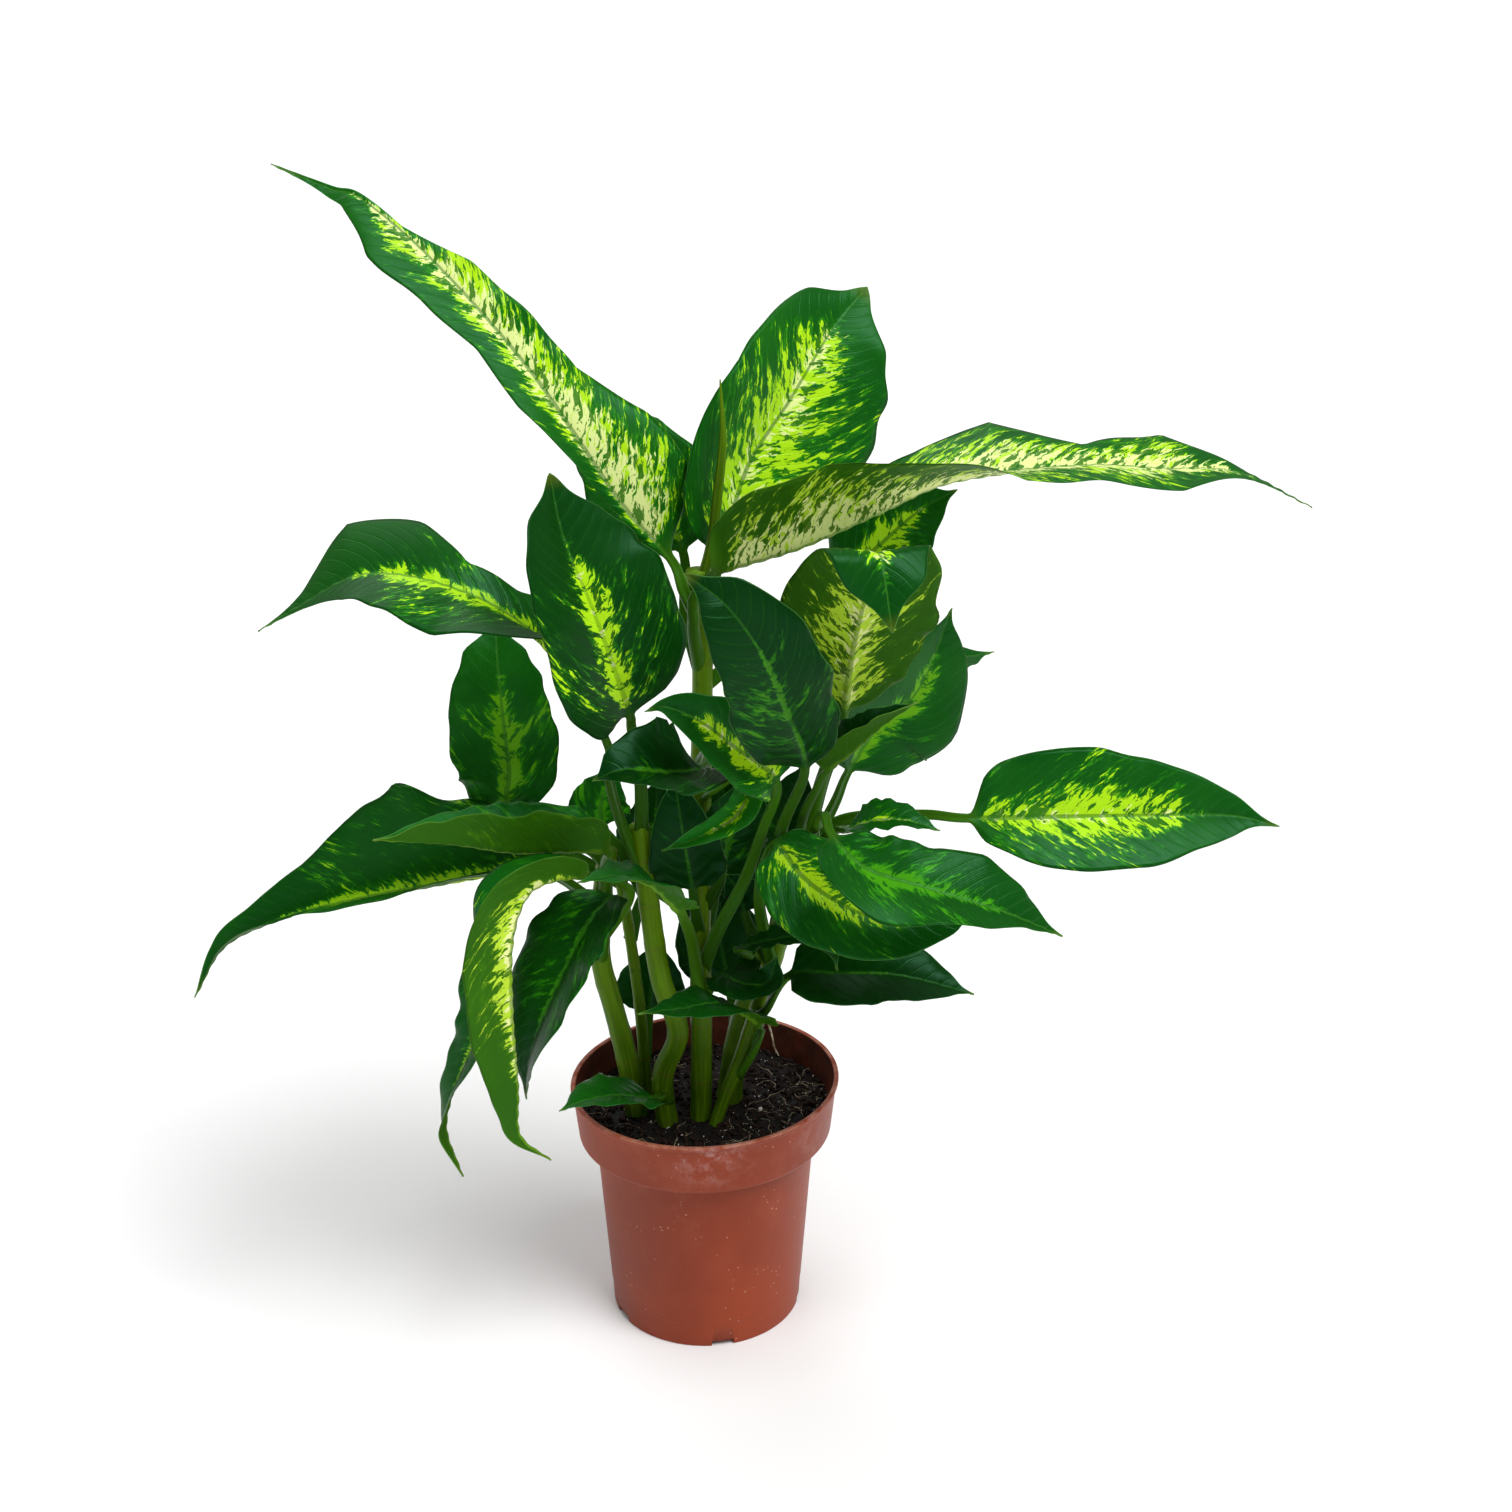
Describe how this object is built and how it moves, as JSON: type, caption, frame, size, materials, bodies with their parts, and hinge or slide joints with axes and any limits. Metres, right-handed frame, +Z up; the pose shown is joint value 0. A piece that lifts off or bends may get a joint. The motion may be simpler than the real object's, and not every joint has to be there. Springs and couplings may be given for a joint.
{
  "type": "potted dieffenbachia",
  "caption": "Bushy potted foliage plant: variegated arching leaves on several canes rising from soil in a small terracotta-coloured plastic nursery pot with a deep collar.",
  "frame": {"origin": "middle of the pot's foot, at the height of the surface that it stands on", "axes": "+Z up along the pot's axis; -Y towards the side that the plant shows to the viewer, +X to the viewer's right"},
  "size_m": [0.4612, 0.1882, 0.5072],
  "materials": {
    "pot": "thin moulded terracotta-coloured plastic, dusty, with a scuffed pale lip",
    "soil": "moist dark peat with fibres and a few perlite grains",
    "cane": "smooth green plant stem with pale leaf scars",
    "leaf": "glossy variegated leaf: dark green margin, cream and lime flecks along the veins, paler dull underside",
    "young_leaf": "glossy pale green young leaf, still partly rolled"
  },
  "bodies": {
    "root": {"pot": "pot", "soil": "soil", "cane_left": "cane", "cane_thin": "cane", "cane_front": "cane", "cane_tall": "cane", "cane_right": "cane", "cane_back": "cane", "leaf_spear": "young_leaf", "leaf_top_left": "leaf", "leaf_top_right": "leaf", "leaf_top_back": "leaf", "leaf_right_long": "leaf", "leaf_left_erect": "leaf", "leaf_left_upper": "leaf", "leaf_left_mid": "leaf", "leaf_left_low": "leaf", "leaf_left_curved": "leaf", "leaf_left_hanging": "leaf", "leaf_front_low": "leaf", "leaf_left_tip": "leaf", "leaf_centre_dark": "leaf", "leaf_centre_right": "leaf", "leaf_right_shade": "leaf", "leaf_right_behind": "leaf", "leaf_right_narrow": "leaf", "leaf_centre_curl": "leaf", "leaf_centre_left": "leaf", "leaf_mid_left": "leaf", "leaf_front_small": "leaf", "leaf_pot_small": "leaf", "leaf_right_far": "leaf", "leaf_right_small": "leaf", "leaf_right_lower": "leaf", "leaf_right_front": "leaf", "leaf_right_tip": "leaf", "leaf_right_wisp": "leaf", "leaf_centre_small": "leaf", "leaf_shade_right": "leaf", "leaf_shade_left": "leaf", "leaf_shade_mid": "leaf", "leaf_shade_far_left": "leaf", "leaf_back_right": "leaf", "leaf_centre_young": "young_leaf", "leaf_shade_back_left": "leaf", "leaf_shade_back_mid": "leaf", "leaf_shade_back_low": "leaf", "leaf_shade_back_right": "leaf", "leaf_shade_low_left": "leaf"}
  },
  "joints": []
}
